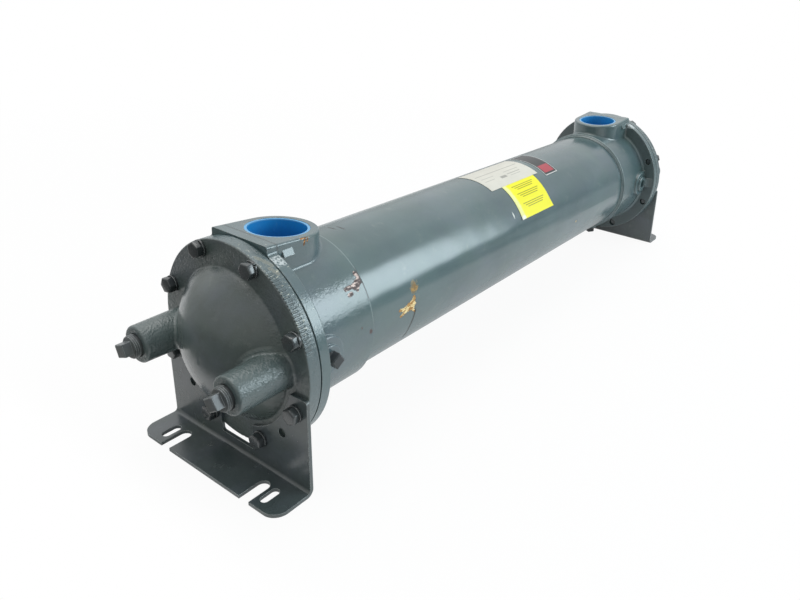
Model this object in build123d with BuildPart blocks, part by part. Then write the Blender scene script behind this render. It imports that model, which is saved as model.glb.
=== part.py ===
"""Shell and tube heat exchanger with bolted bonnets and bent plate feet.

Millimetres, +Z up. The floor is Z = 0, the exchanger axis lies along X above it, and the
origin is midway between the two ends. The return end is at -X and the piped end at +X.
"""

import os
from math import cos, radians, sin, tan

from build123d import *

os.makedirs("parts", exist_ok=True)

# Whole machine
axis_height = 118.5
joint_span = 780.0
gasket_thickness = 1.6
fit_clearance = 0.05

# Shell
shell_outer_radius = 76.2
shell_wall = 3.2
shell_socket_depth = 12.0
solder_leg = 2.4
solder_gap = 0.25

# Bolted joint
bolt_count = 8
bolt_hole_radius = 5.2
bolt_neck_room = 12.3
bolt_edge_room = 8.2
hub_flange_thickness = 11.0
bonnet_flange_thickness = 13.0
rim_round = 1.2

# Hub castings
hub_length = 90.0
hub_wall = 4.5
neck_flare_round = 3.5
neck_end_chamfer = 1.0
port_inset = 45.0
port_rise = 1.0
port_face_slope = 4.5
port_hole_radius = 30.2
port_wall = 7.8
port_root_round = 4.0
port_edge_round = 2.5
side_pad_inset = 23.1
side_pad_width = 11.7
side_pad_height = 6.2
side_pad_drop = 11.4
side_pad_depth = 3.0

# Vent and drain bosses on the hubs
vent_inset = 26.0
vent_rise = 6.3
drain_rise = 17.5
vent_hole_radius = 6.85
vent_wall = 5.5
vent_pad_radius = 19.5
vent_pad_rise = 2.8
vent_edge_round = 1.5
vent_rib_width = 15.0
vent_rib_rim_gap = 3.0

# Tube sheets
tube_sheet_lip = 0.8
tube_sheet_thickness = 12.0

# Bonnet castings
dome_bolt_room = 17.5
dome_height = 38.0
bonnet_wall = 7.0
bonnet_root_round = 2.5
bonnet_boss_inset = 11.1
bonnet_boss_radius = 18.1
bonnet_boss_length = 56.0
bonnet_boss_draft = 1.0
bonnet_boss_edge_round = 2.5
bonnet_tap_radius = 10.6
bonnet_tap_depth = 22.0
bonnet_tap_countersink = 1.2
bonnet_passage_radius = 9.0
pass_rib_thickness = 8.0

# Bent plate feet
foot_plate_thickness = 3.5
foot_side_inset = 0.7
foot_ear_gap = 0.9
foot_ear_round = 3.0
foot_reach = 41.0
foot_bend_radius = 4.0
foot_corner_radius = 15.0
foot_dome_gap = 5.0
foot_relief_half_width = 24.0
foot_relief_margin = 3.3
foot_relief_round = 3.0
spare_hole_angle = 135.0
spare_hole_radius = 4.6
closed_slot_side_inset = 26.5
closed_slot_inset = 24.0
closed_slot_length = 20.0
closed_slot_width = 9.0
open_slot_step = 15.0
open_slot_inset = 13.0
open_slot_width = 13.2

# Plastic port caps
cap_wall = 2.5
cap_floor = 2.4
cap_depth = 24.0
cap_taper = 1.5
cap_recess = 0.4

# Square-headed pipe plugs
boss_plug_depth = 16.0
boss_plug_stand_out = 7.0
boss_plug_square = 12.5
boss_plug_head_length = 8.5
left_boss_plug_turn = 21.0
right_boss_plug_turn = 32.0
vent_plug_depth = 12.0
vent_plug_stand_out = 1.5
vent_plug_square = 11.0
vent_plug_head_length = 8.0
vent_plug_turn = 33.0
plug_edge_chamfer = 0.8

# Sizes that follow from the ones above
neck_radius = shell_outer_radius + hub_wall
bolt_circle_radius = neck_radius + bolt_neck_room
flange_radius = bolt_circle_radius + bolt_edge_room
chamber_radius = shell_outer_radius - shell_wall
tube_sheet_radius = shell_outer_radius + tube_sheet_lip
port_height = flange_radius + port_rise
port_boss_radius = port_hole_radius + port_wall
dome_base_radius = bolt_circle_radius - dome_bolt_room
bonnet_boss_offset = dome_base_radius - bonnet_boss_inset
bonnet_boss_spacing = 2 * bonnet_boss_offset
foot_half_width = flange_radius - foot_side_inset
closed_slot_spacing = 2 * (foot_half_width - closed_slot_side_inset)
open_slot_spacing = closed_slot_spacing - 2 * open_slot_step

# Planes and axes that the pieces share
half_span = joint_span / 2
hub_face = half_span - gasket_thickness / 2
bonnet_face = half_span + gasket_thickness / 2
bonnet_outer_face = bonnet_face + bonnet_flange_thickness
boss_end = bonnet_outer_face + bonnet_boss_length
main_axis = Axis((0, 0, axis_height), (1, 0, 0))
profile_plane = Plane(origin=(0, 0, axis_height), x_dir=(1, 0, 0), z_dir=(0, -1, 0))
end_plane = Plane(origin=(0, 0, axis_height), x_dir=(0, -1, 0), z_dir=(-1, 0, 0))
neck_end = -half_span + hub_length
port_x = -half_span + port_inset
vent_x = -half_span + vent_inset
bolt_start_angle = 180 / bolt_count
# The port's face meets the joint at the port height and falls from there towards the shell
slope = radians(port_face_slope)
port_face = Plane(
    origin=(-hub_face, 0, axis_height + port_height),
    x_dir=(cos(slope), 0, -sin(slope)),
    z_dir=(sin(slope), 0, cos(slope)),
)

# Shell: a drawn brass tube, soldered into a socket in each hub
shell_half_length = -neck_end + shell_socket_depth
with BuildPart() as shell_tube:
    with BuildSketch(end_plane.offset(-shell_half_length)):
        Circle(shell_outer_radius)
        Circle(shell_outer_radius - shell_wall, mode=Mode.SUBTRACT)
    extrude(amount=2 * shell_half_length)

# Solder ring: the fillet of solder round the shell where it enters the hub
with BuildPart() as near_solder_ring:
    with BuildSketch(profile_plane):
        with BuildLine():
            solder_bore = shell_outer_radius + solder_gap
            Polyline(
                (neck_end, solder_bore),
                (neck_end, solder_bore + solder_leg),
                (neck_end + solder_leg, solder_bore),
                close=True,
            )
        make_face()
    revolve(axis=main_axis)

with BuildPart() as far_solder_ring:
    mirror(near_solder_ring.part, about=Plane.YZ)

# Hub: a cast brass ring with the bolting flange, the neck that takes the shell, the
# shell-side port on top, a vent boss on the side and a drain boss below. Each outlet is
# the direction in which its boss stands and the boss's height from the axis.
outlets = {
    "vent": ((0, -1, 0), neck_radius + vent_rise),
    "drain": ((0, 0, -1), neck_radius + drain_rise),
}
vent_boss_radius = vent_hole_radius + vent_wall
with BuildPart() as near_hub:
    with BuildSketch(profile_plane):
        with BuildLine():
            flange_back = -hub_face + hub_flange_thickness
            Polyline(
                (flange_back, neck_radius + neck_flare_round),
                (flange_back, flange_radius),
                (-hub_face, flange_radius),
                (-hub_face, 0),
                (neck_end, 0),
                (neck_end, neck_radius - neck_end_chamfer),
                (neck_end - neck_end_chamfer, neck_radius),
                (flange_back + neck_flare_round, neck_radius),
            )
            RadiusArc(
                (flange_back + neck_flare_round, neck_radius),
                (flange_back, neck_radius + neck_flare_round),
                neck_flare_round,
            )
        make_face()
    revolve(axis=main_axis)
    flange_rim_face = near_hub.faces().filter_by(GeomType.CYLINDER).sort_by(SortBy.RADIUS)[-1]
    fillet(flange_rim_face.edges().filter_by(GeomType.CIRCLE).sort_by(Axis.X)[-1], rim_round)
    # The port boss: round towards the shell, square against the flange, with a sloping face
    with BuildPart():
        with BuildSketch(Plane.XY.offset(axis_height)):
            with Locations((port_x, 0)):
                Circle(port_boss_radius)
            with Locations(((port_x - hub_face) / 2, 0)):
                Rectangle(hub_face + port_x, 2 * port_boss_radius)
        extrude(amount=port_height)
        split(bisect_by=port_face, keep=Keep.BOTTOM)
    # The boss's round end meets the neck in two free curves, and the fillet runs on from them
    port_root_edges = near_hub.edges().filter_by(GeomType.BSPLINE)
    fillet(port_root_edges, port_root_round)
    port_top_edges = near_hub.faces().sort_by(Axis.Z)[-1].outer_wire().edges().sort_by(Axis.X)[1:]
    fillet(port_top_edges, port_edge_round)
    # The wedge on the boss's side, flush at its top and standing out at its foot
    side_pad_z = axis_height + port_height - side_pad_drop
    with BuildSketch(Plane.YZ.offset(-half_span + side_pad_inset)):
        Polygon(
            (-port_boss_radius, side_pad_z + side_pad_height / 2),
            (-port_boss_radius - side_pad_depth, side_pad_z - side_pad_height / 2),
            (-port_boss_radius + side_pad_depth, side_pad_z - side_pad_height / 2),
            align=None,
        )
    extrude(amount=side_pad_width / 2, both=True)
    # The vent and drain bosses: a low pad against the flange, a round boss and its rib
    for out, height in outlets.values():
        boss_plane = Plane(origin=(0, 0, axis_height), x_dir=(1, 0, 0), z_dir=out)
        out_axis = Axis((0, 0, axis_height), out)
        with BuildPart() as vent_pad:
            with BuildSketch(boss_plane):
                with Locations((vent_x, 0)):
                    Circle(vent_pad_radius)
                with Locations(((vent_x - hub_face) / 2, 0)):
                    Rectangle(hub_face + vent_x, 2 * vent_pad_radius)
            extrude(amount=neck_radius + vent_pad_rise)
            fillet(vent_pad.faces().sort_by(out_axis)[-1].edges(), vent_edge_round)
        with BuildPart() as vent_boss:
            with BuildSketch(boss_plane):
                with Locations((vent_x, 0)):
                    Circle(vent_boss_radius)
            extrude(amount=height)
            fillet(vent_boss.faces().sort_by(out_axis)[-1].edges(), vent_edge_round)
        rib_plane = Plane(
            origin=(0, 0, axis_height),
            x_dir=(1, 0, 0),
            z_dir=Vector(1, 0, 0).cross(Vector(out)),
        )
        with BuildSketch(rib_plane):
            with BuildLine():
                Polyline(
                    (flange_back, chamber_radius),
                    (flange_back, flange_radius - vent_rib_rim_gap),
                    (vent_x - vent_boss_radius, height),
                    (vent_x - vent_hole_radius, height),
                    (vent_x - vent_hole_radius, chamber_radius),
                    close=True,
                )
            make_face()
        extrude(amount=vent_rib_width / 2, both=True)
    # The chamber inside, the shell socket and the tube sheet's seat
    with BuildSketch(end_plane.offset(-neck_end)):
        Circle(chamber_radius)
    extrude(amount=hub_length, mode=Mode.SUBTRACT)
    with BuildSketch(end_plane.offset(-neck_end)):
        Circle(shell_outer_radius + fit_clearance)
    extrude(amount=shell_socket_depth + fit_clearance, mode=Mode.SUBTRACT)
    with BuildSketch(end_plane.offset(hub_face)):
        Circle(tube_sheet_radius + fit_clearance)
    extrude(amount=-tube_sheet_thickness - fit_clearance, mode=Mode.SUBTRACT)
    # The tapped holes of the port, the vent and the drain, and the bolt holes
    with BuildSketch(Plane.XY.offset(axis_height)):
        with Locations((port_x, 0)):
            Circle(port_hole_radius)
    extrude(amount=port_height, mode=Mode.SUBTRACT)
    for out, height in outlets.values():
        with BuildSketch(Plane(origin=(0, 0, axis_height), x_dir=(1, 0, 0), z_dir=out)):
            with Locations((vent_x, 0)):
                Circle(vent_hole_radius)
        extrude(amount=flange_radius, mode=Mode.SUBTRACT)
    with BuildSketch(end_plane.offset(hub_face)):
        with PolarLocations(bolt_circle_radius, bolt_count, start_angle=bolt_start_angle):
            Circle(bolt_hole_radius)
    extrude(amount=-hub_flange_thickness, mode=Mode.SUBTRACT)

with BuildPart() as far_hub:
    mirror(near_hub.part, about=Plane.YZ)

# Tube sheet: a brass disc let into the hub, level with its face
with BuildPart() as near_tube_sheet:
    with BuildSketch(end_plane.offset(hub_face)):
        Circle(tube_sheet_radius)
    extrude(amount=-tube_sheet_thickness)

with BuildPart() as far_tube_sheet:
    mirror(near_tube_sheet.part, about=Plane.YZ)

# Gasket: a fibre ring between hub and bonnet
cavity_radius = dome_base_radius - bonnet_wall
with BuildPart() as near_gasket:
    with BuildSketch(end_plane.offset(hub_face)):
        Circle(flange_radius - rim_round)
        Circle(cavity_radius, mode=Mode.SUBTRACT)
        with PolarLocations(bolt_circle_radius, bolt_count, start_angle=bolt_start_angle):
            Circle(bolt_hole_radius, mode=Mode.SUBTRACT)
    extrude(amount=gasket_thickness)

with BuildPart() as far_gasket:
    mirror(near_gasket.part, about=Plane.YZ)

# Bonnet: a cast iron cover, a flange with a spherical dome and two long pipe bosses.
# The water space is the hollow inside it.
dome_radius = (dome_base_radius**2 + dome_height**2) / (2 * dome_height)
dome_centre = -bonnet_outer_face - dome_height + dome_radius
inner_dome_radius = dome_radius - bonnet_wall
cavity_end = dome_centre - (inner_dome_radius**2 - cavity_radius**2) ** 0.5
with BuildPart() as water_space:
    with BuildSketch(profile_plane):
        with BuildLine():
            Line((dome_centre - inner_dome_radius, 0), (-bonnet_face, 0))
            Line((-bonnet_face, 0), (-bonnet_face, cavity_radius))
            Line((-bonnet_face, cavity_radius), (cavity_end, cavity_radius))
            RadiusArc(
                (cavity_end, cavity_radius),
                (dome_centre - inner_dome_radius, 0),
                -inner_dome_radius,
            )
        make_face()
    revolve(axis=main_axis)

boss_root_radius = bonnet_boss_radius + (boss_end - bonnet_face) * tan(radians(bonnet_boss_draft))
with BuildPart() as near_bonnet:
    with BuildSketch(end_plane.offset(bonnet_face)):
        Circle(flange_radius)
    extrude(amount=bonnet_flange_thickness)
    fillet(near_bonnet.edges().filter_by(GeomType.CIRCLE).sort_by(Axis.X)[0], rim_round)
    with BuildSketch(profile_plane):
        with BuildLine():
            Line((dome_centre - dome_radius, 0), (-bonnet_face, 0))
            Line((-bonnet_face, 0), (-bonnet_face, dome_base_radius))
            Line((-bonnet_face, dome_base_radius), (-bonnet_outer_face, dome_base_radius))
            RadiusArc(
                (-bonnet_outer_face, dome_base_radius),
                (dome_centre - dome_radius, 0),
                -dome_radius,
            )
        make_face()
    revolve(axis=main_axis)
    with BuildSketch(end_plane.offset(bonnet_face)):
        with GridLocations(bonnet_boss_spacing, 1, 2, 1):
            Circle(boss_root_radius)
    extrude(amount=boss_end - bonnet_face, taper=bonnet_boss_draft)
    boss_end_edges = near_bonnet.faces().filter_by(Plane.YZ).sort_by(Axis.X)[0:2].edges()
    fillet(boss_end_edges, bonnet_boss_edge_round)
    # The root runs round dome and bosses on the flange, and along the curves between them
    flange_outer_face = near_bonnet.faces().filter_by(Plane.YZ).sort_by(Axis.X)[2]
    root_edges = flange_outer_face.inner_wires()[0].edges() + near_bonnet.edges().filter_by(GeomType.BSPLINE)
    fillet(root_edges, bonnet_root_round)
    add(water_space.part, mode=Mode.SUBTRACT)
    with BuildSketch(end_plane.offset(boss_end)):
        with GridLocations(bonnet_boss_spacing, 1, 2, 1):
            Circle(bonnet_tap_radius)
    extrude(amount=-bonnet_tap_depth, mode=Mode.SUBTRACT)
    boss_end_faces = near_bonnet.faces().filter_by(Plane.YZ).sort_by(Axis.X)[0:2]
    tap_mouth_edges = [edge for face in boss_end_faces for wire in face.inner_wires() for edge in wire.edges()]
    chamfer(tap_mouth_edges, bonnet_tap_countersink)
    with BuildSketch(end_plane.offset(boss_end)):
        with GridLocations(bonnet_boss_spacing, 1, 2, 1):
            Circle(bonnet_passage_radius)
    extrude(amount=-bonnet_boss_length - bonnet_flange_thickness / 2, mode=Mode.SUBTRACT)
    with BuildSketch(end_plane.offset(bonnet_face)):
        with PolarLocations(bolt_circle_radius, bolt_count, start_angle=bolt_start_angle):
            Circle(bolt_hole_radius)
    extrude(amount=bonnet_flange_thickness, mode=Mode.SUBTRACT)

# The piped end's bonnet is the same casting with a rib that parts the two water passes
with BuildPart() as pass_rib:
    add(water_space.part)
    with BuildSketch(end_plane.offset(bonnet_face)):
        Rectangle(pass_rib_thickness, 2 * cavity_radius)
    extrude(amount=bonnet_flange_thickness + dome_height, mode=Mode.INTERSECT)

with BuildPart() as far_bonnet:
    mirror(near_bonnet.part, about=Plane.YZ)
    mirror(pass_rib.part, about=Plane.YZ)

# Foot: one bent steel plate, bolted on outside the bonnet flange
foot_inner_face = bonnet_outer_face
foot_outer_face = foot_inner_face + foot_plate_thickness
foot_end = foot_outer_face + foot_reach
with BuildPart() as near_foot:
    with BuildSketch(Plane.XZ.offset(-foot_half_width)):
        with BuildLine():
            bend_outside = foot_bend_radius + foot_plate_thickness
            ear_top = axis_height - bonnet_boss_radius - foot_ear_gap
            Line((-foot_inner_face, ear_top), (-foot_inner_face, bend_outside))
            RadiusArc((-foot_inner_face, bend_outside), (-foot_inner_face - bend_outside, 0), bend_outside)
            Line((-foot_inner_face - bend_outside, 0), (-foot_end, 0))
            Line((-foot_end, 0), (-foot_end, foot_plate_thickness))
            Line((-foot_end, foot_plate_thickness), (-foot_outer_face - foot_bend_radius, foot_plate_thickness))
            RadiusArc(
                (-foot_outer_face - foot_bend_radius, foot_plate_thickness),
                (-foot_outer_face, bend_outside),
                -foot_bend_radius,
            )
            Line((-foot_outer_face, bend_outside), (-foot_outer_face, ear_top))
            Line((-foot_outer_face, ear_top), (-foot_inner_face, ear_top))
        make_face()
    extrude(amount=2 * foot_half_width)
    # The ring cut-out round the dome and the relief below it
    foot_relief_depth = flange_radius + foot_relief_margin
    with BuildSketch(end_plane.offset(foot_inner_face)):
        with Locations((0, -foot_relief_depth / 2)):
            RectangleRounded(2 * foot_relief_half_width, foot_relief_depth, foot_relief_round)
        Circle(dome_base_radius + foot_dome_gap)
    extrude(amount=foot_plate_thickness, mode=Mode.SUBTRACT)
    with BuildSketch(end_plane.offset(foot_inner_face)):
        with PolarLocations(bolt_circle_radius, bolt_count, start_angle=bolt_start_angle):
            Circle(bolt_hole_radius)
        for side in (-1, 1):
            with PolarLocations(bolt_circle_radius, 1, start_angle=90 + side * spare_hole_angle):
                Circle(spare_hole_radius)
    extrude(amount=foot_plate_thickness, mode=Mode.SUBTRACT)
    # The holding-down slots: one closed and one open on each side
    with BuildSketch(Plane.XY):
        closed_slot_x = -foot_outer_face - closed_slot_inset
        with Locations((closed_slot_x, 0)):
            with GridLocations(1, closed_slot_spacing, 1, 2):
                SlotOverall(closed_slot_length, closed_slot_width)
        open_slot_length = 2 * (foot_reach - open_slot_inset)
        with Locations((-foot_end, 0)):
            with GridLocations(1, open_slot_spacing, 1, 2):
                SlotOverall(open_slot_length, open_slot_width)
    extrude(amount=foot_plate_thickness, mode=Mode.SUBTRACT)
    for corner in (0, -1):
        toe_edges = near_foot.edges().filter_by(Axis.Z).group_by(Axis.X)[0]
        fillet(toe_edges.sort_by(Axis.Y)[corner], foot_corner_radius)
    ear_corners = near_foot.edges().filter_by(Axis.X).group_by(Axis.Z)[-1]
    fillet(ear_corners, foot_ear_round)

with BuildPart() as far_foot:
    mirror(near_foot.part, about=Plane.YZ)


# Port cap: a moulded plastic cup pressed into a shell-side port, its lip along the sloping face
with BuildPart() as near_port_cap:
    cap_plane = Plane(origin=(port_x, 0, axis_height + port_height), x_dir=(1, 0, 0), z_dir=(0, -1, 0))
    cap_outer = port_hole_radius - fit_clearance
    cap_bottom = -(hub_face + port_x) * tan(slope) - cap_depth
    with BuildSketch(cap_plane):
        with BuildLine():
            Polyline(
                (0, cap_bottom),
                (cap_outer - cap_taper, cap_bottom),
                (cap_outer, cap_bottom + cap_depth),
                (cap_outer, 0),
                (cap_outer - cap_wall, 0),
                (cap_outer - cap_wall, cap_bottom + cap_depth),
                (cap_outer - cap_wall - cap_taper, cap_bottom + cap_floor),
                (0, cap_bottom + cap_floor),
                close=True,
            )
        make_face()
    revolve(axis=Axis((port_x, 0, 0), (0, 0, 1)))
    split(bisect_by=port_face.offset(-cap_recess), keep=Keep.BOTTOM)

with BuildPart() as far_port_cap:
    mirror(near_port_cap.part, about=Plane.YZ)


def square_head_plug(mouth, hole_radius, depth, stand_out, square, head_length, turn):
    """A pipe plug: a round threaded body that stands out of the mouth, and a square head.

    The turn is how far the head has been screwed round, in degrees.
    """
    out_axis = Axis(mouth.origin, mouth.z_dir)
    with BuildPart() as plug:
        with BuildSketch(mouth.offset(-depth)):
            Circle(hole_radius - fit_clearance)
        extrude(amount=depth + stand_out)
        chamfer(plug.faces().sort_by(out_axis)[-1].edges(), plug_edge_chamfer)
        with BuildSketch(mouth.offset(stand_out)):
            Rectangle(square, square, rotation=turn)
        extrude(amount=head_length)
        chamfer(plug.faces().sort_by(out_axis)[-1].edges(), plug_edge_chamfer)
    return plug


boss_plugs = {}
for plug_name, side, turn in (
    ("near_left_plug", 1, left_boss_plug_turn),
    ("near_right_plug", -1, right_boss_plug_turn),
):
    boss_mouth = Plane(
        origin=(-boss_end, side * bonnet_boss_offset, axis_height),
        x_dir=(0, -1, 0),
        z_dir=(-1, 0, 0),
    )
    boss_plugs[plug_name] = square_head_plug(
        boss_mouth,
        bonnet_tap_radius,
        boss_plug_depth,
        boss_plug_stand_out,
        boss_plug_square,
        boss_plug_head_length,
        turn,
    )

# The far hub's vent is open, so it has no plug
vent_plugs = {}
for plug_name, plug_x, outlet in (
    ("near_vent_plug", vent_x, "vent"),
    ("near_drain_plug", vent_x, "drain"),
    ("far_drain_plug", -vent_x, "drain"),
):
    out, height = outlets[outlet]
    outlet_mouth = Plane(
        origin=Vector(plug_x, 0, axis_height) + Vector(out) * height,
        x_dir=(1, 0, 0),
        z_dir=out,
    )
    vent_plugs[plug_name] = square_head_plug(
        outlet_mouth,
        vent_hole_radius,
        vent_plug_depth,
        vent_plug_stand_out,
        vent_plug_square,
        vent_plug_head_length,
        vent_plug_turn,
    )

pieces = {
    "shell_tube": shell_tube,
    "near_solder_ring": near_solder_ring,
    "far_solder_ring": far_solder_ring,
    "near_hub": near_hub,
    "far_hub": far_hub,
    "near_tube_sheet": near_tube_sheet,
    "far_tube_sheet": far_tube_sheet,
    "near_gasket": near_gasket,
    "far_gasket": far_gasket,
    "near_bonnet": near_bonnet,
    "far_bonnet": far_bonnet,
    "near_foot": near_foot,
    "far_foot": far_foot,
    "near_port_cap": near_port_cap,
    "far_port_cap": far_port_cap,
    **boss_plugs,
    **vent_plugs,
}
for name, piece in pieces.items():
    piece.part.label = name
    export_step(piece.part, f"parts/{name}.step")
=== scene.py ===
from math import cos, pi, radians, sin

import bmesh
import bpy
from mathutils import Matrix, Vector


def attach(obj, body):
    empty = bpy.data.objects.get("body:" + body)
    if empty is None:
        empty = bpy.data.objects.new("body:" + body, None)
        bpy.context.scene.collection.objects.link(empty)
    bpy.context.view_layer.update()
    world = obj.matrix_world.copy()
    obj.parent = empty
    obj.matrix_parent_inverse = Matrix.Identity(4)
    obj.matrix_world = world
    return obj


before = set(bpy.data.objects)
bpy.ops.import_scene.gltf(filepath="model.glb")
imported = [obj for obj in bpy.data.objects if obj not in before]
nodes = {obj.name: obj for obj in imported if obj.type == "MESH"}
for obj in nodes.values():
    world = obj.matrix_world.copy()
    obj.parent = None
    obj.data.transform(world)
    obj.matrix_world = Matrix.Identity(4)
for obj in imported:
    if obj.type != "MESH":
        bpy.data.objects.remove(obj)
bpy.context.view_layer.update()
scene = bpy.context.scene
scene.view_settings.view_transform = "Standard"


# Camera
# Stands low at the plugged end, to the vent side, and looks along the exchanger towards the
# piped end. Its place and lens come from the shell's and flanges' outlines.
camera_place = (-0.74753, -0.48958, 0.45456)
azimuth, elevation, roll = radians(-55.69), radians(21.09), radians(2.76)

camera_data = bpy.data.cameras.new("camera")
camera_data.sensor_width = 36
camera_data.lens = 31.43
camera_data.shift_x = -0.0841
camera_data.shift_y = -0.0832
camera_data.clip_end = 100
camera = bpy.data.objects.new("camera", camera_data)
scene.collection.objects.link(camera)
scene.camera = camera
back = Vector((sin(azimuth) * cos(elevation), -cos(azimuth) * cos(elevation), sin(elevation)))
level_right = Vector((0, 0, 1)).cross(back).normalized()
level_up = back.cross(level_right)
right = cos(roll) * level_right + sin(roll) * level_up
up = cos(roll) * level_up - sin(roll) * level_right
facing = Matrix((right, up, back)).transposed().to_4x4()
camera.matrix_world = Matrix.Translation(camera_place) @ facing


# Studio
# A white sheet under a broad soft light from above and a window low at the front right, which
# make the bands along the enamel. Past the sheet's edges the floor is grey, darker towards the
# camera's side as painted shade, which the camera doesn't see but the shell's lower side reflects.
# In reflections the sheet glows on the window side only, a painted pool of window light.
class Value:
    """A number that varies over a surface. Arithmetic on it adds Math nodes."""

    def __init__(self, finish, link):
        self.finish = finish
        self.link = link

    def math(self, operation, first, second=0.0):
        """The outcome of one Math node."""
        return self.finish.node(
            "ShaderNodeMath", {"operation": operation}, {0: first, 1: second}
        )

    def __add__(self, other):
        return self.math("ADD", self, other)

    __radd__ = __add__

    def __sub__(self, other):
        return self.math("SUBTRACT", self, other)

    def __rsub__(self, other):
        return self.math("SUBTRACT", other, self)

    def __mul__(self, other):
        return self.math("MULTIPLY", self, other)

    __rmul__ = __mul__

    def __abs__(self):
        return self.math("ABSOLUTE", self)

    def root(self):
        """The square root."""
        return self.math("POWER", self, 0.5)

    def lowest(self, other):
        """The lower of two."""
        return self.math("MINIMUM", self, other)

    def highest(self, other):
        """The higher of two."""
        return self.math("MAXIMUM", self, other)

    def rise(self, start, end):
        """0 below start, 1 above end and smooth between them, also where start is the higher."""
        return self.finish.node(
            "ShaderNodeMapRange",
            {"interpolation_type": "SMOOTHSTEP"},
            {"Value": self, "From Min": start, "From Max": end},
        )

    def between(self, low, high, edge=0.0003):
        """1 between two limits, with an edge that wide to either side of each."""
        return self.rise(low - edge, low + edge) * self.rise(high + edge, high - edge)


class Finish:
    """One node tree, of a material or of the world, built node by node."""

    def __init__(self, name, owner=None):
        self.owner = owner or bpy.data.materials.new(name)
        self.owner.use_nodes = True
        self.tree = self.owner.node_tree
        self.shader = self.tree.nodes.get("Principled BSDF")
        self.place = self.node("ShaderNodeTexCoord", {}, {}, "Object")
        self.tone = (0.5, 0.5, 0.5, 1)
        self.gloss = 0.5
        self.metal = 0.0
        self.relief = None

    def node(self, kind, settings, inputs, output=0):
        """Adds a node: its settings first, then the values or links of its sockets."""
        made = self.tree.nodes.new(kind)
        for name, value in settings.items():
            setattr(made, name, value)
        for name, value in inputs.items():
            if isinstance(value, Value):
                self.tree.links.new(value.link, made.inputs[name])
            else:
                made.inputs[name].default_value = value
        return Value(self, made.outputs[output])

    def vector_math(self, operation, inputs, output=0):
        """The outcome of one Vector Math node."""
        return self.node("ShaderNodeVectorMath", {"operation": operation}, inputs, output)

    def length(self, vector):
        """How long a vector is."""
        return self.vector_math("LENGTH", {0: vector}, "Value")

    def light_rays(self):
        """Whether the ray is the camera's, a reflection or one that came through glass."""
        kinds = ("Is Camera Ray", "Is Glossy Ray", "Is Transmission Ray")
        return [self.node("ShaderNodeLightPath", {}, {}, kind) for kind in kinds]

    def mix(self, factor, first, second):
        """A colour between two, by a factor."""
        return self.node("ShaderNodeMix", {"data_type": "RGBA"}, {0: factor, 6: first, 7: second}, 2)

    def noise(self, scale, detail=3.0, roughness=0.5, stretch=None):
        """Cloudy noise from 0 to 1, scale cells a metre, or stretched along an axis."""
        place = self.place
        if stretch:
            place = self.node("ShaderNodeMapping", {}, {"Vector": place, "Scale": stretch})
        return self.node(
            "ShaderNodeTexNoise",
            {},
            {"Vector": place, "Scale": scale, "Detail": detail, "Roughness": roughness},
        )

    def ragged(self, scale):
        """Broken noise about 0, coarse and fine, for the outline of a patch."""
        coarse = (self.noise(scale, 4, 0.65) - 0.5) * 2
        return coarse + (self.noise(scale * 3, 3, 0.6) - 0.5) * 1.2

    def axes(self, vector=None):
        """The X, Y and Z of a vector, the place on the object unless another is given."""
        split = {0: vector or self.place}
        return [self.node("ShaderNodeSeparateXYZ", {}, split, name) for name in "XYZ"]

    def blot(self, centre, reach, ragged=0.9, scale=260):
        """1 inside a ragged patch round a place, falling to 0 outside it. Reach is along X, Y, Z."""
        away = self.vector_math("SUBTRACT", {0: self.place, 1: centre})
        away = self.vector_math("DIVIDE", {0: away, 1: reach})
        return (self.length(away) + self.ragged(scale) * ragged).rise(1.25, 0.75)

    def streak(self, start, end, width, scale=500, ragged=0.8):
        """1 inside a ragged streak between two places, width metres wide."""
        along = Vector(end) - Vector(start)
        away = self.vector_math("SUBTRACT", {0: self.place, 1: start})
        reached = self.vector_math("DOT_PRODUCT", {0: away, 1: along}, "Value")
        reached = (reached * (1 / along.length_squared)).highest(0.0).lowest(1.0)
        nearest = self.vector_math("SCALE", {0: along, "Scale": reached})
        away = self.vector_math("SUBTRACT", {0: away, 1: nearest})
        return (self.length(away) * (2 / width) + self.ragged(scale) * ragged).rise(1.25, 0.75)

    def bump(self, height, distance, under=None):
        """Relief of that height in metres, over another relief if one is given."""
        inputs = {"Height": height, "Distance": distance, "Strength": 1.0}
        if under:
            inputs["Normal"] = under
        return self.node("ShaderNodeBump", {}, inputs)

    def cover(self, mask, tone, gloss=None, metal=None):
        """Lays another colour, gloss and metal over what is there, where the mask is 1."""
        self.tone = self.mix(mask, self.tone, tone)
        if gloss is not None:
            self.gloss = self.gloss + mask * (gloss - self.gloss)
        if metal is not None:
            self.metal = self.metal + mask * (metal - self.metal)

    def surface(self, **sockets):
        """Sets the shader's sockets: colour=, roughness=, metal=, specular= and normal=."""
        names = {
            "colour": "Base Color",
            "roughness": "Roughness",
            "metal": "Metallic",
            "specular": "Specular IOR Level",
            "normal": "Normal",
        }
        for name, value in sockets.items():
            socket = self.shader.inputs[names[name]]
            if isinstance(value, Value):
                self.tree.links.new(value.link, socket)
            else:
                socket.default_value = value


def shade(hex_colour):
    """The linear colour of a six-digit screen colour."""
    channels = [int(hex_colour[i:i + 2], 16) / 255 for i in (0, 2, 4)]
    linear = [c / 12.92 if c <= 0.04045 else ((c + 0.055) / 1.055) ** 2.4 for c in channels]
    return (*linear, 1.0)


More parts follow.
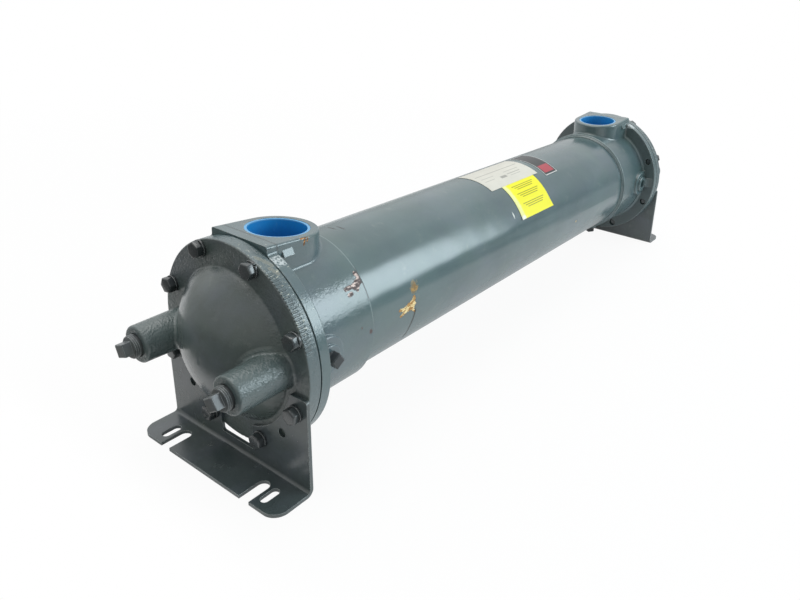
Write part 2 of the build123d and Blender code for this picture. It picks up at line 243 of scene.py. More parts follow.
white = (1, 1, 1, 1)
studio = bpy.data.worlds.new("studio")
scene.world = studio
sky = Finish("studio", owner=studio)
sky.tree.nodes.clear()
direction = sky.node("ShaderNodeTexCoord", {}, {}, "Generated")
toward_x, toward_y, toward_z = sky.axes(direction)
beside_sweep = toward_y.rise(-0.62, -0.38)
low_wall = sky.mix(beside_sweep, (0.10, 0.11, 0.12, 1), (0.42, 0.44, 0.45, 1))
high_wall = sky.mix(beside_sweep, (0.56, 0.58, 0.59, 1), (0.78, 0.80, 0.81, 1))
room = sky.mix(toward_z.rise(0.0, 0.45), low_wall, high_wall)
warm_side = (toward_x * -1.0).rise(0.1, 0.8)
room = sky.mix(warm_side * 0.6, room, (0.42, 0.40, 0.36, 1))
backdrop_side = (toward_y + toward_x * 0.12).rise(-0.03, 0.05) * toward_x.rise(-0.6, -0.2)
low_backdrop = sky.mix(
    toward_y.rise(0.42, 0.72), (0.80, 0.81, 0.82, 1), (0.54, 0.55, 0.55, 1)
)
backdrop = sky.mix(toward_z.rise(-0.05, 0.42), low_backdrop, white)
room = sky.mix(backdrop_side, room, backdrop)
camera_ray, glossy_ray, through_ray = sky.light_rays()
seen = camera_ray + (glossy_ray + through_ray) * backdrop_side * toward_z.rise(0.2, 0.5)
shown = sky.mix(seen, room, white)
background = sky.node("ShaderNodeBackground", {}, {"Color": shown, "Strength": 1.0})
world_output = sky.tree.nodes.new("ShaderNodeOutputWorld")
sky.tree.links.new(background.link, world_output.inputs["Surface"])

bpy.ops.object.select_all(action="DESELECT")
bpy.ops.mesh.primitive_circle_add(vertices=96, radius=40, fill_type="NGON", location=(0, 0, 0))
floor = bpy.context.object
floor.name = "floor"
sweep = Finish("floor_white")
floor_x, floor_y, _ = sweep.axes()
past_end = floor_x * 0.776 - floor_y * 0.632
off_sheet = past_end.rise(0.54, 0.57).highest(floor_x.rise(-0.50, -0.56))
# The bare floor is darker towards the camera's side: painted shade for the shell to reflect.
bare_floor_with_painted_shade = sweep.mix(
    (floor_x + floor_y).rise(-0.1, 0.3), (0.14, 0.14, 0.14, 1), (0.42, 0.42, 0.42, 1)
)
floor_tone = sweep.mix(off_sheet, (0.86, 0.86, 0.86, 1), bare_floor_with_painted_shade)
sweep.surface(colour=floor_tone, roughness=0.6, specular=0.2)
lit_floor = sweep.shader.outputs["BSDF"]
white_glow = sweep.node("ShaderNodeEmission", {}, {"Color": white, "Strength": 1.0})
camera_ray, glossy_ray, through_ray = sweep.light_rays()
far_off = sweep.length(sweep.place).rise(0.7, 2.0)
near_edge = past_end.rise(0.30, 0.54).highest(floor_x.rise(-0.46, -0.52))
plain = far_off.highest(near_edge)
# Reflections see the sheet glow on the window side only: a painted pool of light, painted shadow
# beyond.
painted_window_pool = (glossy_ray + through_ray) * (1 - off_sheet) * floor_y.rise(0.12, -0.1)
glow = camera_ray * (0.93 + plain * 0.07) + painted_window_pool * 0.55
sweep_mix = sweep.node("ShaderNodeMixShader", {}, {0: glow})
sweep.tree.links.new(lit_floor, sweep_mix.link.node.inputs[1])
sweep.tree.links.new(white_glow.link, sweep_mix.link.node.inputs[2])
sweep.tree.links.new(sweep_mix.link, sweep.tree.nodes["Material Output"].inputs["Surface"])
floor.data.materials.append(sweep.owner)


def softbox(name, aim, towards, distance, width, height, power, colour):
    """A rectangular studio light at a distance from the point it shines on."""
    lamp_data = bpy.data.lights.new(name, "AREA")
    lamp_data.shape = "RECTANGLE"
    lamp_data.size = width
    lamp_data.size_y = height
    lamp_data.energy = power
    lamp_data.color = colour
    lamp = bpy.data.objects.new(name, lamp_data)
    scene.collection.objects.link(lamp)
    towards = Vector(towards).normalized()
    lamp.location = Vector(aim) + towards * distance
    lamp.rotation_euler = towards.to_track_quat("Z", "Y").to_euler()


softbox("window", (0, 0, 0.12), (0.540, -0.765, 0.350), 3.0, 1.7, 1.65, 46, (0.80, 0.94, 1.0))
softbox("overhead", (0, 0, 0.1), (-0.1, 0.15, 1), 2.6, 2.4, 1.6, 20, (1.0, 0.99, 0.97))


# Shell
# A drawn brass tube under a semi-gloss blue-grey enamel. Knocks have broken the enamel down to
# the brass in a few places, with a crack below one of them, and handling has left it scuffed.
axis_height = 0.1185
shell_radius = 0.0762


def on_round(x, angle, radius):
    """A place on a round surface, by degrees from the top towards the vent side."""
    return (x, -radius * sin(radians(angle)), axis_height + radius * cos(radians(angle)))


def from_axis(finish):
    """The distance from the exchanger's axis."""
    beside = finish.vector_math(
        "MULTIPLY_ADD", {0: finish.place, 1: (0, 1, 1), 2: (0, 0, -axis_height)}
    )
    return finish.length(beside)


def turn_round(finish):
    """The angle round the exchanger's axis, from the top towards the vent side, in radians."""
    _, y, z = finish.axes()
    return z.math("ARCTAN2", y * -1.0, z - axis_height)


def streaks(paint, radius, rows, scale=500, ragged=0.8):
    """1 inside any of the ragged streaks that the rows put on a round surface.

    A row has the place along the axis and the degrees of either end, and the width.
    """
    flaked = None
    for x, angle, next_x, next_angle, width in rows:
        start, end = on_round(x, angle, radius), on_round(next_x, next_angle, radius)
        piece = paint.streak(start, end, width, scale, ragged)
        flaked = flaked.highest(piece) if flaked else piece
    return flaked


def enamel(
    name, dark, light, roughness, peel, casting=0.0, rubbed_and_highlight=0.35, rough_part=None, dusty=1.0
):
    """Sprayed enamel over metal, with an uneven tone and gloss.

    Peel is the height of the spray's orange peel and casting that of the sand mould's lumps,
    which rough_part, a function of the finish, can keep to a part of the piece. The arrises are
    painted pale by the given share, partly rubbed wear and partly a painted highlight, and dusty
    how far dust has paled the rest.
    """
    paint = Finish(name)
    paint.tone = paint.mix(paint.noise(8, 5, 0.6).rise(0.32, 0.68), dark, light)
    tint = paint.noise(21, 4, 0.6, stretch=(0.6, 1, 1)).rise(0.4, 0.75)
    paint.cover(tint * (0.22 * dusty), shade("6f7288"))
    green = paint.noise(15, 4, 0.6, stretch=(1, 0.7, 1.3)).rise(0.45, 0.8)
    paint.cover(green * (0.22 * dusty), shade("64786a"))
    paint.gloss = roughness + (paint.noise(26, 4) - 0.5) * 0.08
    dust = paint.noise(44, 6, 0.7).rise(0.55, 0.85)
    paint.cover(dust * (0.2 * dusty), shade("a2a79f"), roughness + 0.18)
    specks = paint.noise(420, 1).rise(0.76, 0.8)
    paint.cover(specks * 0.35, shade("343a3a"), roughness + 0.1)
    rounded = paint.node("ShaderNodeBevel", {"samples": 6}, {"Radius": 0.0009})
    flat = paint.node("ShaderNodeNewGeometry", {}, {}, "Normal")
    square_on = paint.vector_math("DOT_PRODUCT", {0: rounded, 1: flat}, "Value")
    # Pale arrises: partly rubbed wear, partly a painted highlight along the edges.
    arris = (1 - square_on).rise(0.01, 0.16) * paint.noise(130, 3, 0.6).rise(0.3, 0.55)
    paint.cover(arris * rubbed_and_highlight, shade("b9c4c4"))
    paint.relief = paint.bump(paint.noise(13, 2), 0.0012, under=rounded)
    if casting:
        lumps = paint.noise(210, 4, 0.6) + paint.noise(520, 3, 0.6) * 0.5
        if rough_part:
            lumps = lumps * rough_part(paint)
        paint.relief = paint.bump(lumps, casting, under=paint.relief)
    paint.relief = paint.bump(paint.noise(640, 2), peel, under=paint.relief)
    return paint


def bare_metal(paint, mask, colours, roughness=0.32, metal=0.85, bright_from=0.46):
    """A flake of enamel gone: streaky metal, pale and deep, inside a dark broken edge."""
    pale, deep, edge = (shade(colour) for colour in colours)
    paint.cover(mask.rise(0.05, 0.35), edge, 0.6)
    bright = paint.noise(430, 4, 0.7, stretch=(0.3, 1, 1)).rise(bright_from, bright_from + 0.08)
    bare = paint.mix(bright, deep, pale)
    paint.cover(mask.rise(0.42, 0.6), bare, roughness, metal)


def spray(paint, nodes_named=(), specular=1.0):
    """Sets the finished enamel's shader and puts it on CAD pieces."""
    paint.surface(
        colour=paint.tone,
        roughness=paint.gloss,
        metal=paint.metal,
        normal=paint.relief,
        specular=specular,
    )
    for name in nodes_named:
        nodes[name].material_slots[0].material = paint.owner


shell_enamel = enamel("shell_enamel", shade("4b6063"), shade("566d6f"), 0.2, 0.00004, rubbed_and_highlight=0.2)
golden = streaks(shell_enamel, shell_radius, [(-0.2485, 91.0, -0.2360, 88.5, 0.0085)], 300, 1.15)
spurs = (
    (-0.2360, 93.0, -0.2338, 84.0, 0.0042),
    (-0.2480, 90.0, -0.2570, 88.8, 0.0030),
    (-0.2480, 92.5, -0.2550, 94.5, 0.0030),
    (-0.2380, 93.0, -0.2320, 96.5, 0.0024),
)
golden = golden.highest(streaks(shell_enamel, shell_radius, spurs, 420, 1.0))
bare_metal(shell_enamel, golden, ("f7e6b0", "a87c40", "5e4524"))
amber = shell_enamel.blot(on_round(-0.232, 76, shell_radius), (0.0050, 0.006, 0.0065), 1.5, 330)
bare_metal(shell_enamel, amber * 0.54, ("c3954a", "86632f", "6e6a48"), 0.5, 0.5)
crack_path = ((-0.2312, 95), (-0.2335, 104), (-0.2352, 112), (-0.2366, 124))
for start, end in zip(crack_path, crack_path[1:]):
    crack = streaks(shell_enamel, shell_radius, [(*start, *end, 0.0023)], 900, 0.6)
    shell_enamel.cover(crack * 0.95, shade("1f211d"), 0.6)
for x, angle, reach, colour in (
    (-0.0222, 58, (0.0011, 0.004, 0.004), "dfe3df"),
    (0.1407, 97, (0.0016, 0.0016, 0.0016), "a58c4c"),
):
    residue = shell_enamel.blot(on_round(x, angle, shell_radius), reach, 0.8, 600)
    shell_enamel.cover(residue, shade(colour), 0.6)
for x, angle in ((-0.2725, -3), (-0.2655, 1.5)):
    scratch = shell_enamel.blot(on_round(x, angle, shell_radius), (0.0011, 0.0065, 0.006), 0.5, 700)
    shell_enamel.cover(scratch * 0.85, shade("2c3132"), 0.5)
spray(shell_enamel, ["shell_tube"])


# Hubs and solder rings
# Cast brass, machined on the joint faces and sprayed with the shell. The flange backs stay rough,
# and are painted darker, partly dirt and partly painted shade. Paint has flaked off at the near
# hub's end and on its port. Pale specks on the rim and on the port's side pad are painted glints,
# and at the hubs' ends the solder fillet carries a painted highlight, the near one a painted shadow
# too.
hub_radius = 0.0807
flange_radius = 0.1012
flange_back = 0.378
port_side = -0.038

hub_enamel = enamel(
    "hub_enamel", shade("4b6063"), shade("566d6f"), 0.18, 0.00005, casting=0.00025, rubbed_and_highlight=0.7
)
along_x, along_y, along_z = hub_enamel.axes()
from_middle = abs(along_x)
outward = from_axis(hub_enamel)
# The flange backs are painted darker: some dirt, and painted shade where they face away from the
# lamps.
flange_back_dirt_and_shade = from_middle.between(flange_back - 0.001, flange_back + 0.001, 0.0005)
hub_enamel.cover(flange_back_dirt_and_shade * outward.rise(0.0835, 0.0855) * 0.55, shade("2e3636"), 0.5)

flakes = (
    (-0.3045, 47.0, -0.3020, 53.5, 0.0044),
    (-0.3025, 52.0, -0.3125, 55.3, 0.0064),
    (-0.3105, 54.5, -0.3240, 54.6, 0.0038),
    (-0.3060, 54.5, -0.3110, 58.0, 0.0034),
    (-0.3190, 58.8, -0.3225, 59.2, 0.0036),
)
flaked_end = streaks(hub_enamel, hub_radius, flakes)
bare_metal(hub_enamel, flaked_end, ("cdb9b0", "3a2624", "3b3231"), 0.5, 0.35, bright_from=0.49)
for x, angle, size in ((-0.3054, 90, 0.0028), (-0.3174, 84, 0.0012)):
    knock = hub_enamel.blot(on_round(x, angle, hub_radius), (size * 0.7, size, size), 0.7, 500)
    hub_enamel.cover(knock, shade("4a3836"), 0.5)

copper = hub_enamel.streak((-0.3505, port_side, 0.2172), (-0.3385, port_side, 0.2168), 0.0022)
for x, next_x, low_z, width in (
    (-0.3455, -0.3475, 0.2105, 0.0018),
    (-0.3425, -0.3435, 0.2125, 0.0014),
):
    drip = hub_enamel.streak((x, port_side, 0.2168), (next_x, port_side, low_z), width)
    copper = copper.highest(drip)
bare_metal(hub_enamel, copper, ("c98f55", "6e4a2a", "77705a"), 0.45)

# Painted highlight along the upper half of the solder fillet at both ends, and painted shadow on the
# near step's face.
hub_end_band = from_middle.rise(0.2988, 0.2994) * from_middle.rise(0.3026, 0.3018)
shadowed_step = along_z.rise(0.182, 0.174) * along_z.rise(0.146, 0.152) * along_x.rise(0.01, -0.01)
step_shadow_and_highlight = hub_enamel.mix(shadowed_step, shade("9fb0b2"), shade("10181a"))
step_shadow_and_highlight_share = along_z.rise(0.118, 0.142) * 0.28 + shadowed_step * 0.6
hub_enamel.cover(hub_end_band * step_shadow_and_highlight_share, step_shadow_and_highlight, 0.35)

# Near-white specks on the port's sloped side pad: a painted highlight of the window.
side_pad = along_y.rise(-0.0405, -0.0410) * along_z.rise(0.205, 0.206)
painted_sparkle = hub_enamel.noise(500, 3).rise(0.35, 0.6)
hub_enamel.cover(side_pad * painted_sparkle * 0.65, shade("dde5e6"), 0.3)
# Pale specks on the rim's upper part: painted glints of the lamps.
rim = outward.rise(flange_radius - 0.0006, flange_radius - 0.0002)
painted_glints = hub_enamel.noise(620, 4, 0.65, stretch=(0.5, 1, 1)).rise(0.60, 0.68)
painted_glints = painted_glints * hub_enamel.noise(70, 3).rise(0.45, 0.6)
hub_enamel.cover(rim * painted_glints * along_z.rise(0.13, 0.17) * 0.6, shade("c6cbbd"), 0.3)
spray(hub_enamel, ["near_hub", "far_hub", "near_solder_ring", "far_solder_ring"])


# Tube sheets and gaskets
# Turned brass discs let into the hubs, and compressed fibre rings, seen only at the joints. The
# spray has caught the upper half of each ring.
turned_brass = Finish("tube_sheet_brass")
turning = turned_brass.noise(900, 2, 0.5, stretch=(0.02, 1, 1))
turned_brass.surface(
    colour=turned_brass.mix(turned_brass.noise(40, 4), shade("9c8145"), shade("b59a5c")),
    metal=1.0,
    roughness=0.3 + turning * 0.2,
    normal=turned_brass.bump(turning, 0.00002),
)
fibre = Finish("gasket_fibre")
strands = fibre.noise(700, 4, 0.7)
spray_edge = fibre.axes()[2] + (fibre.noise(90, 4, 0.6) - 0.5) * 0.06
fibre.tone = fibre.mix(strands, shade("14181a"), shade("2d3233"))
fibre.cover(spray_edge.rise(0.105, 0.125) * 0.85, shade("55686b"))
fibre.surface(
    colour=fibre.tone,
    roughness=0.85 + strands * 0.1,
    normal=fibre.bump(strands, 0.0001),
)
for end in ("near", "far"):
    nodes[f"{end}_tube_sheet"].material_slots[0].material = turned_brass.owner
    nodes[f"{end}_gasket"].material_slots[0].material = fibre.owner


# Bonnets
# Cast iron covers with the grain of the sand mould still in the surface, sprayed with the rest.
# Pale metal-like streaks and specks on the rim's upper vent side are painted glints of its high
# grains.
boss_offset = 0.0644
boss_root = 0.411
rim_edge = 0.4031


def from_boss_axis(finish):
    """The distance from the axis of the nearer of a bonnet's two bosses."""
    _, y, z = finish.axes()
    aside, above = abs(y) - boss_offset, z - axis_height
    return (aside * aside + above * above).root()


def near_a_boss(finish):
    """1 on the two bosses of a bonnet, falling to 0 at their roots."""
    return from_boss_axis(finish).rise(0.026, 0.0215)


def away_from_dome(finish):
    """1 on the flange and the bosses, where the casting is rough, and low on the smooth dome."""
    return 1 - from_axis(finish).rise(0.074, 0.066) * (1 - near_a_boss(finish)) * 0.88


bonnet_enamel = enamel(
    "bonnet_enamel",
    shade("4b5756"),
    shade("5a6664"),
    0.22,
    0.00006,
    casting=0.0007,
    rubbed_and_highlight=0.3,
    rough_part=away_from_dome,
)
soot = bonnet_enamel.noise(60, 5, 0.7).rise(0.45, 0.75)
bonnet_enamel.cover(soot * 0.3, shade("434643"), 0.36)
along_x, along_y, along_z = bonnet_enamel.axes()
from_middle = abs(along_x)
boss_part = near_a_boss(bonnet_enamel) * from_middle.rise(boss_root - 0.003, boss_root + 0.003)
bonnet_enamel.cover(boss_part * 0.35, shade("55696a"), 0.2)
boss_grain = bonnet_enamel.noise(560, 2, 0.5) * boss_part
bonnet_enamel.relief = bonnet_enamel.bump(boss_grain, 0.0005, under=bonnet_enamel.relief)

rim = from_middle.rise(rim_edge + 0.0005, rim_edge - 0.0005)
bonnet_enamel.cover(rim * 0.7, shade("50656a"), 0.22)
turn_angle = turn_round(bonnet_enamel)
hatching = turn_angle.math("PINGPONG", turn_angle * 29, 0.5)
hatched = rim * from_middle.rise(0.3950, 0.3975) * turn_angle.between(0.55, 1.31, 0.05)
cast_ridges = hatching.rise(0.2, 0.4) * hatched
bonnet_enamel.relief = bonnet_enamel.bump(cast_ridges, 0.0012, under=bonnet_enamel.relief)
# Pale specks on the rim's upper vent side: painted glints where the window light falls.
window_lit_side = along_z.rise(0.13, 0.17) * along_y.rise(0.0, -0.03)
grains = bonnet_enamel.noise(560, 4, 0.65, stretch=(0.5, 1, 1)).rise(0.56, 0.66)
grains = grains * bonnet_enamel.noise(60, 3).rise(0.38, 0.55)
bonnet_enamel.cover(rim * window_lit_side * grains * 0.7, shade("c9ccba"), 0.28)
# Pale metal-like streaks on the rim: painted glints, drawn as bare metal.
glint_streaks = (
    (-0.3990, 20.5, -0.3950, 24.5, 0.0042),
    (-0.3960, 24.0, -0.3925, 28.0, 0.0042),
    (-0.3965, 29.5, -0.3935, 33.5, 0.0042),
)
painted_rim_glints = streaks(bonnet_enamel, flange_radius, glint_streaks, 620) * grains.highest(0.25)
bare_metal(bonnet_enamel, painted_rim_glints, ("efe9d2", "8a8470", "7c8076"), 0.35, 0.4)
spray(bonnet_enamel, ["near_bonnet", "far_bonnet"])


# Feet
# Sheared and bent steel plate with the slots punched through, sprayed a little thinner than the
# castings. The sheared edges are painted pale, partly rubbed wear and partly a painted highlight.
foot_enamel = enamel("foot_enamel", shade("394345"), shade("465152"), 0.26, 0.00006, rubbed_and_highlight=0.7)
spray(foot_enamel, ["near_foot", "far_foot"])


# Bolts and lock washers
# Eight steel hex bolts hold each bonnet, four of them the foot as well. They pass the bonnet and
# screw into the hub flange, where their ends stay just below its back. All are sprayed over.
bolt_circle = 0.093
bolts_an_end = 8
bolt_seat = 0.4038
foot_seat = 0.4073
bolt_end = 0.3817
head_across_flats = 0.0143
head_height = 0.0061
head_inset = 0.0010
head_crown = 0.0006
head_turns = (0, 10, 34, 20, 47, 5, 52, 28)
shank_radius = 0.0047
shank_chamfer = 0.0008
washer_thickness = 0.0023
washer_inside, washer_outside = 0.0050, 0.0084
washer_wound = 350


def turned_bar(sides, radius, start, end):
    """A bar along the X axis with that many sides."""
    bpy.ops.object.select_all(action="DESELECT")
    bpy.ops.mesh.primitive_cylinder_add(
        vertices=sides,
        radius=radius,
        depth=end - start,
        location=((start + end) / 2, 0, 0),
        rotation=(0, pi / 2, 0),
    )
    bpy.ops.object.transform_apply(location=True, rotation=True, scale=True)
    return bpy.context.object


def edit_end(bar, side):
    """Opens a bar for editing with its end face on one side selected, -1 outwards or 1 inwards."""
    bpy.ops.object.mode_set(mode="EDIT")
    bpy.ops.mesh.select_all(action="DESELECT")
    shape = bmesh.from_edit_mesh(bar.data)
    for face in shape.faces:
        face.select = face.normal.x * side > 0.9
    shape.select_flush_mode()
    bmesh.update_edit_mesh(bar.data)


def ease_edges(piece, width, sharper_than):
    """Bevels the edges that turn by more than an angle in degrees."""
    ease = piece.modifiers.new("ease", "BEVEL")
    ease.width = width
    ease.segments = 2
    ease.limit_method = "ANGLE"
    ease.angle_limit = radians(sharper_than)
    bpy.ops.object.modifier_apply(modifier="ease")


def hex_head():
    """A bolt's head on its washer, with the crowned outer face."""
    head_seat = -washer_thickness
    head = turned_bar(6, head_across_flats / 3 ** 0.5, head_seat - head_height, head_seat)
    edit_end(head, -1)
    bpy.ops.mesh.inset(thickness=head_inset, depth=0)
    bpy.ops.transform.translate(value=(-head_crown, 0, 0))
    bpy.ops.object.mode_set(mode="OBJECT")
    ease_edges(head, 0.0004, 20)
    return head


def shank(seat):
    """A bolt's shank with a chamfered end, from the head on that seat inwards."""
    rod = turned_bar(24, shank_radius, -washer_thickness, seat - bolt_end)
    edit_end(rod, 1)
    bpy.ops.mesh.bevel(offset=shank_chamfer, segments=1)
    bpy.ops.object.mode_set(mode="OBJECT")
    return rod


def lock_washer():
    """A spring lock washer: a square wire wound into a ring, with its split left open."""
    bpy.ops.object.select_all(action="DESELECT")
    bpy.ops.mesh.primitive_plane_add(
        size=1,
        location=(-washer_thickness / 2, 0, (washer_inside + washer_outside) / 2),
        rotation=(pi / 2, 0, 0),
    )
    ring = bpy.context.object
    ring.scale = (washer_thickness, washer_outside - washer_inside, 1)
    bpy.ops.object.transform_apply(location=True, rotation=True, scale=True)
    bpy.ops.object.mode_set(mode="EDIT")
    bpy.ops.mesh.select_all(action="SELECT")
    bpy.ops.mesh.spin(steps=36, angle=radians(washer_wound), center=(0, 0, 0), axis=(1, 0, 0))
    bpy.ops.mesh.select_all(action="SELECT")
    bpy.ops.mesh.remove_doubles(threshold=0.00001)
    bpy.ops.mesh.normals_make_consistent(inside=False)
    bpy.ops.object.mode_set(mode="OBJECT")
    ease_edges(ring, 0.0003, 40)
    return ring


def fit(piece, name, paint):
    """Names a steel piece, smooths it, paints it and rides it with the exchanger."""
    piece.name = name
    bpy.ops.object.select_all(action="DESELECT")
    piece.select_set(True)
    bpy.context.view_layer.objects.active = piece
    bpy.ops.object.shade_smooth_by_angle(angle=radians(30))
    piece.data.materials.clear()
    piece.data.materials.append(paint.owner)
    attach(piece, "root")


def duplicate(pattern):
    """A copy of a pattern with its own mesh."""
    copy = pattern.copy()
    copy.data = pattern.data.copy()
    scene.collection.objects.link(copy)
    return copy


bolt_enamel = enamel(
    "bolt_enamel",
    shade("2c3234"),
    shade("3d4446"),
    0.2,
    0.00005,
    casting=0.0001,
    rubbed_and_highlight=0.9,
    dusty=0.3,
)
spray(bolt_enamel)
washer_enamel = enamel(
    "washer_enamel", shade("24292b"), shade("33393b"), 0.25, 0.00005, rubbed_and_highlight=1.0, dusty=0.3
)
spray(washer_enamel)
head_pattern = hex_head()
ring_pattern = lock_washer()
rods = {seat: shank(seat) for seat in (bolt_seat, foot_seat)}
for end, end_turn in (("near", 0), ("far", pi)):
    for number in range(bolts_an_end):
        angle = (number + 0.5) * 360 / bolts_an_end
        seat = foot_seat if 90 < angle < 270 else bolt_seat
        aside, above = -bolt_circle * sin(radians(angle)), bolt_circle * cos(radians(angle))
        place = Matrix.Rotation(end_turn, 4, "Z") @ Matrix.Translation(
            (-seat, aside, axis_height + above)
        )
        bpy.ops.object.select_all(action="DESELECT")
        for pattern in (head_pattern, rods[seat]):
            part = duplicate(pattern)
            part.select_set(True)
            bpy.context.view_layer.objects.active = part
        bpy.ops.object.join()
        screw = bpy.context.object
        screw.data.transform(place @ Matrix.Rotation(radians(head_turns[number]), 4, "X"))
        fit(screw, f"{end}_bolt_{number + 1}", bolt_enamel)
        ring = duplicate(ring_pattern)
        ring.data.transform(place @ Matrix.Rotation(radians(40 + 71 * number), 4, "X"))
        fit(ring, f"{end}_lock_washer_{number + 1}", washer_enamel)
for pattern in (head_pattern, ring_pattern, *rods.values()):
    bpy.data.objects.remove(pattern)


# Port caps
# Moulded blue polyethylene cups that keep dirt out of the ports. Their lip is painted paler as a
# painted highlight and their floor darker as painted shade, and pulling has scuffed them.
face_high_z = 0.2203
face_high_x = 0.3892
face_slope = 0.0787

cap_blue = Finish("cap_blue")
along_x, _, along_z = cap_blue.axes()
above_face = along_z - (face_high_z - (face_high_x - abs(along_x)) * face_slope)
cap_tone = cap_blue.mix(cap_blue.noise(30, 3), shade("1b7fc0"), shade("248ccc"))
# Darker towards the cup's floor: painted shade in the recess.
recess_shade = above_face.rise(-0.002, -0.016)
cap_tone = cap_blue.mix(recess_shade * 0.6, cap_tone, shade("125c9c"))
# The lip is painted paler: a painted highlight along its edge.
lip_highlight = above_face.rise(-0.0016, -0.0005)
cap_tone = cap_blue.mix(lip_highlight * 0.5, cap_tone, shade("86c6ea"))
scuffs = cap_blue.noise(120, 5, 0.7, stretch=(1, 1, 0.3)).rise(0.58, 0.8)
cap_blue.surface(
    colour=cap_blue.mix(scuffs * 0.25, cap_tone, shade("7cbbe4")),
    roughness=0.34 + scuffs * 0.2,
    normal=cap_blue.bump(cap_blue.noise(240, 3), 0.00006),
)
for name in ("near_port_cap", "far_port_cap"):
    nodes[name].material_slots[0].material = cap_blue.owner


# Plugs
# Square-headed steel pipe plugs, screwed in before the spraying, so that the paint has half
# filled the threads that still stand out of the end bosses.
boss_mouth = 0.4598
plug_collar = 0.46695
thread_pitch = 0.00181
thread_turns = 3
thread_root = 0.01035
thread_crest = 0.01115
thread_half_width = 0.45

end_plug_enamel = enamel(
    "end_plug_enamel", shade("454b4c"), shade("5a5f5e"), 0.36, 0.00008, rubbed_and_highlight=0.9
)
outward = from_boss_axis(end_plug_enamel)
thread_part = outward.rise(thread_root - 0.0008, thread_root - 0.0003)
thread_part = thread_part * abs(end_plug_enamel.axes()[0]).rise(
    plug_collar + 0.00025, plug_collar - 0.00025
)
# The thread roots are painted dark: painted shade in the grooves.
thread_groove_shade = outward.rise(thread_root + 0.0005, thread_root)
end_plug_enamel.cover(thread_part * thread_groove_shade * 0.7, shade("24282a"), 0.5)
spray(end_plug_enamel, ["near_left_plug", "near_right_plug"])

for side_name, side in (("left", 1), ("right", -1)):
    bpy.ops.object.select_all(action="DESELECT")
    bpy.ops.mesh.primitive_circle_add(vertices=3, radius=thread_pitch, location=(0, 0, 0))
    ridge = bpy.context.object
    profile = ((0, thread_crest), (-thread_half_width, thread_root), (thread_half_width, thread_root))
    for vertex, (turns, out) in zip(ridge.data.vertices, profile):
        vertex.co = (turns * thread_pitch, 0, out)
    coil = ridge.modifiers.new("coil", "SCREW")
    coil.axis = "X"
    coil.screw_offset = thread_pitch
    coil.iterations = thread_turns
    coil.steps = 40
    coil.render_steps = 40
    bpy.ops.object.modifier_apply(modifier="coil")
    bpy.ops.object.mode_set(mode="EDIT")
    bpy.ops.mesh.select_all(action="SELECT")
    bpy.ops.mesh.remove_doubles(threshold=0.00001)
    bpy.ops.mesh.select_all(action="DESELECT")
    bpy.ops.mesh.select_non_manifold()
    bpy.ops.mesh.edge_face_add()
    bpy.ops.mesh.select_all(action="SELECT")
    bpy.ops.mesh.normals_make_consistent(inside=False)
    bpy.ops.object.mode_set(mode="OBJECT")
    start_x = -boss_mouth - thread_pitch * (thread_turns + 0.5)
    ridge.data.transform(Matrix.Translation((start_x, side * boss_offset, axis_height)))
    fit(ridge, f"near_{side_name}_plug_thread", end_plug_enamel)

plug_enamel = enamel(
    "plug_enamel",
    shade("20282a"),
    shade("2c3335"),
    0.3,
    0.00008,
    casting=0.0002,
    rubbed_and_highlight=0.4,
    dusty=0.3,
)
spray(plug_enamel, ["near_vent_plug", "near_drain_plug", "far_drain_plug"], specular=0.5)


# Labels
# Three printed films stuck on the shell: an off-white plate, a yellow tag over its lower edge,
# and a dark strip with a red block. All are left blank but for ruled lines and plain blocks.
film_cells = 36
glue_thickness = 0.0001
degree = shell_radius * pi / 180


def film(name, low_x, high_x, low_angle, high_angle, lift, thickness, paper):
    """A thin film rolled round the shell between two places along it and two angles.

    Lift is how far its lower edge has come away from the shell, most at the piped end.
    """
    bpy.ops.object.select_all(action="DESELECT")
    bpy.ops.mesh.primitive_grid_add(
        x_subdivisions=film_cells, y_subdivisions=film_cells, size=1, location=(0.5, 0.5, 0)
    )
    sheet = bpy.context.object
    sheet.name = name
    bpy.ops.object.transform_apply(location=True, rotation=True, scale=True)
    for vertex in sheet.data.vertices:
        across, down = vertex.co.x, vertex.co.y
        angle = high_angle + (low_angle - high_angle) * down
        loose = lift * max(0.0, 1 - down * 3.2) ** 2 * (0.35 + 0.65 * across)
        radius = shell_radius + glue_thickness + loose
        vertex.co = on_round(low_x + (high_x - low_x) * across, angle, radius)
    thicken = sheet.modifiers.new("thicken", "SOLIDIFY")
    thicken.thickness = thickness
    thicken.offset = 1
    bpy.ops.object.modifier_apply(modifier="thicken")
    bpy.ops.object.mode_set(mode="EDIT")
    bpy.ops.mesh.select_all(action="SELECT")
    bpy.ops.mesh.normals_make_consistent(inside=False)
    bpy.ops.object.mode_set(mode="OBJECT")
    bpy.ops.object.shade_smooth_by_angle(angle=radians(30))
    sheet.data.materials.append(paper.owner)
    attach(sheet, "root")


def blank_print(name, clouds, dark, light, gloss):
    """A printed film's ground, and the distances along the shell and round it from its top."""
    paper = Finish(name)
    paper.tone = paper.mix(paper.noise(*clouds), shade(dark), shade(light))
    paper.gloss = gloss
    return paper, paper.axes()[0], turn_round(paper) * shell_radius


def print_out(paper, relief):
    """Sets a finished print's shader, with the film's unevenness that high."""
    uneven = paper.bump(paper.noise(150, 3), relief)
    paper.surface(colour=paper.tone, roughness=paper.gloss, normal=uneven)


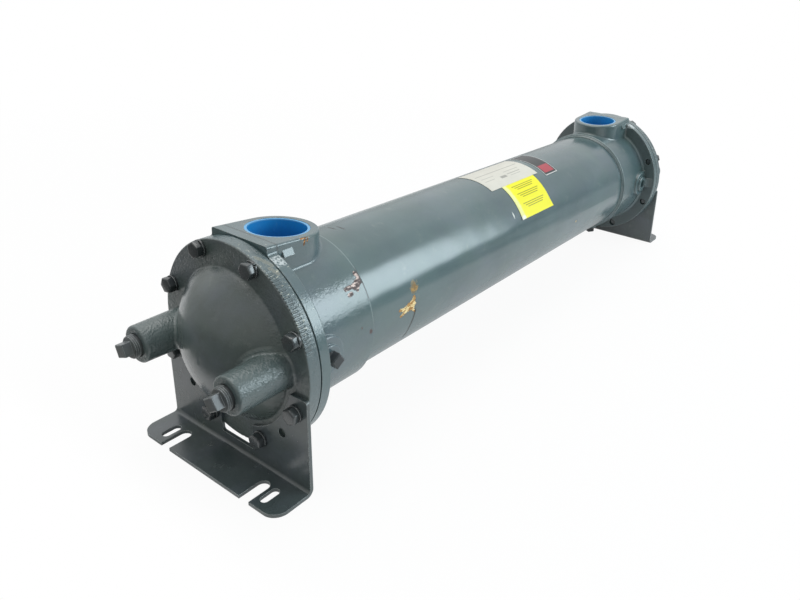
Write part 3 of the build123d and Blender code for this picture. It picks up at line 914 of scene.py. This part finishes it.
plate_print, x, round_shell = blank_print("plate_print", (35, 5, 0.6), "c9c7bc", "dedcd2", 0.42)
for low_x, high_x, low_angle, high_angle, ink in (
    (0.012, 0.026, 14.0, 17.5, "85857f"),
    (0.030, 0.062, 13.6, 14.6, "8f8f88"),
    (0.034, 0.058, 17.0, 17.8, "a3a39b"),
    (0.030, 0.066, 9.0, 9.8, "9a9a92"),
    (-0.022, 0.006, 9.0, 9.8, "a3a39b"),
    (-0.022, 0.000, 14.0, 14.8, "a3a39b"),
    (-0.024, 0.076, 2.0, 3.0, "8f8f88"),
):
    rule = x.between(low_x, high_x) * round_shell.between(low_angle * degree, high_angle * degree)
    plate_print.cover(rule * 0.75, shade(ink))
grime = plate_print.noise(90, 5, 0.7).rise(0.6, 0.8)
plate_print.cover(grime * 0.35, shade("9c9a90"), 0.6)
print_out(plate_print, 0.00008)
film("name_plate_film", -0.031, 0.084, -14, 27.6, 0.0003, 0.00035, plate_print)

tag_print, x, round_shell = blank_print("tag_print", (40, 4), "f2ea14", "f7f22a", 0.4)
for first_angle in (32, 41, 52):
    for line in range(3):
        middle = (first_angle + 2.1 * line) * degree
        rule = x.between(0.008 + 0.004 * line, 0.060 - 0.003 * line)
        rule = rule * round_shell.between(middle - 0.0005, middle + 0.0005)
        tag_print.cover(rule * 0.8, shade("5a5718"))
margin = (x + (tag_print.noise(160, 4, 0.6) - 0.5) * 0.006).rise(0.0025, -0.0015)
tag_print.cover(margin * 0.75, shade("eef0b8"), 0.6)
torn = tag_print.blot(on_round(-0.007, 65.5, shell_radius), (0.008, 0.005, 0.005), 1.2, 300)
tag_print.cover(torn, shade("f4f5e6"), 0.7)
print_out(tag_print, 0.0001)
film("tag_film", -0.0075, 0.0712, 25.6, 66.0, 0.0022, 0.0004, tag_print)

strip_print, x, round_shell = blank_print("strip_print", (50, 4), "25292b", "303436", 0.35)
inner = x.between(0.0975, 0.1275) * round_shell.between(-13 * degree, 33.3 * degree)
strip_print.cover(1 - inner, shade("c9cccb"))
red = x.between(0.1000, 0.1250) * round_shell.between(19.5 * degree, 31 * degree)
strip_print.cover(red * (0.7 + strip_print.noise(200, 4) * 0.3), shade("b8404d"))
print_out(strip_print, 0.00006)
film("strip_film", 0.0965, 0.1285, -14, 34.4, 0.0003, 0.0003, strip_print)
